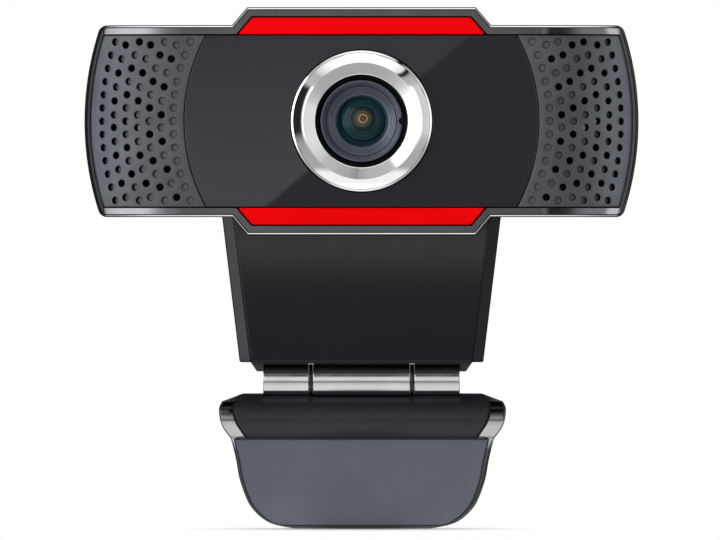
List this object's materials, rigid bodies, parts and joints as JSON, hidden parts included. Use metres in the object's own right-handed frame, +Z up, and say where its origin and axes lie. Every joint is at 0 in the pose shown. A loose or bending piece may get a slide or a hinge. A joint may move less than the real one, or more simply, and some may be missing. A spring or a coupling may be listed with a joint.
{
  "type": "clip-on webcam",
  "caption": "Wide webcam with perforated microphone grilles and a chrome focus ring, on a tilting clip arm with a folding rubber-padded leg.",
  "frame": {"origin": "on the clip arm's flat front face, which rests on a screen's top edge, on its centre line and 30 mm below the lens axis", "axes": "+X to the right seen from the front, -Y forward out of the lens and out of the arm's flat face, +Z up towards the head; the clip is opened out straight"},
  "size_m": [0.096, 0.0341, 0.0905],
  "materials": {
    "frame_grey": "dark grey moulding, softly glossy",
    "shell_black": "satin black moulding",
    "piano_black": "high-gloss black",
    "grille_grey": "satin dark grey",
    "signal_red": "bright red, glossy",
    "chrome_trim": "bright chrome",
    "plain_steel": "zinc-plated steel",
    "pad_rubber": "bluish grey soft rubber",
    "black_rubber": "black soft rubber",
    "barrel_black": "black anodised",
    "inner_plastic": "matt black moulding",
    "board_green": "green solder mask",
    "header_white": "ivory nylon",
    "capsule_metal": "drawn aluminium can",
    "lens_glass": "coated optical glass",
    "filter_glass": "reddish interference coating"
  },
  "bodies": {
    "clip_arm": {"arm_front_plate": "piano_black", "arm_rear_cover": "shell_black", "clamp_knuckles": "chrome_trim", "clamp_pin": "plain_steel", "tilt_pin": "plain_steel", "tilt_washer_left": "plain_steel", "tilt_washer_right": "plain_steel", "clamp_washer_left": "plain_steel", "clamp_washer_right": "plain_steel", "arm_screw_1": "plain_steel", "arm_screw_2": "plain_steel", "arm_screw_3": "plain_steel", "arm_screw_4": "plain_steel"},
    "head": {"front_frame": "frame_grey", "rear_shell": "shell_black", "lens_panel": "piano_black", "grille_left": "grille_grey", "grille_right": "grille_grey", "accent_top": "signal_red", "accent_bottom": "signal_red", "main_board": "board_green", "image_sensor": "inner_plastic", "video_chip": "inner_plastic", "cable_header": "header_white", "lens_holder": "inner_plastic", "infrared_filter": "filter_glass", "microphone_left": "capsule_metal", "microphone_right": "capsule_metal", "microphone_boot_left": "black_rubber", "microphone_boot_right": "black_rubber", "cable_gland": "black_rubber", "shell_screw_1": "plain_steel", "shell_screw_2": "plain_steel", "shell_screw_3": "plain_steel", "shell_screw_4": "plain_steel", "board_screw_1": "plain_steel", "board_screw_2": "plain_steel", "holder_screw_1": "plain_steel", "holder_screw_2": "plain_steel", "bracket_screw_1": "plain_steel", "bracket_screw_2": "plain_steel", "tilt_bracket": "shell_black"},
    "focus_ring": {"chrome_ring": "chrome_trim", "focus_carrier": "inner_plastic"},
    "lens": {"lens_barrel": "barrel_black", "lens_retainer": "barrel_black", "front_element": "lens_glass", "lens_spacer": "inner_plastic", "rear_element": "lens_glass"},
    "clip_leg": {"leg_shell": "piano_black", "leg_roll_cover": "shell_black", "leg_pad": "pad_rubber", "leg_hinge_leaf": "chrome_trim", "leg_screw_1": "plain_steel", "leg_screw_2": "plain_steel"}
  },
  "joints": [
    {"name": "head_tilt", "type": "hinge", "parent": "clip_arm", "child": "head", "pos_m": [0, 0.00285, 0.022], "axis": [-1, 0, 0], "range_deg": [0, 115]},
    {"name": "leg_fold", "type": "hinge", "parent": "clip_arm", "child": "clip_leg", "pos_m": [0, 0.00285, -0.0149], "axis": [-1, 0, 0], "range_deg": [0, 110]},
    {"name": "focus_turn", "type": "hinge", "parent": "head", "child": "focus_ring", "pos_m": [0, -0.0244, 0.03], "axis": [0, -1, 0], "range_deg": [-135, 135]},
    {"name": "lens_travel", "type": "slide", "parent": "focus_ring", "child": "lens", "axis": [0, -1, 0], "range_m": [-0.00019, 0.00019]}
  ],
  "couplings": [
    {"joint": "lens_travel", "follows": "focus_turn", "m_per_rad": 0.000079577}
  ]
}
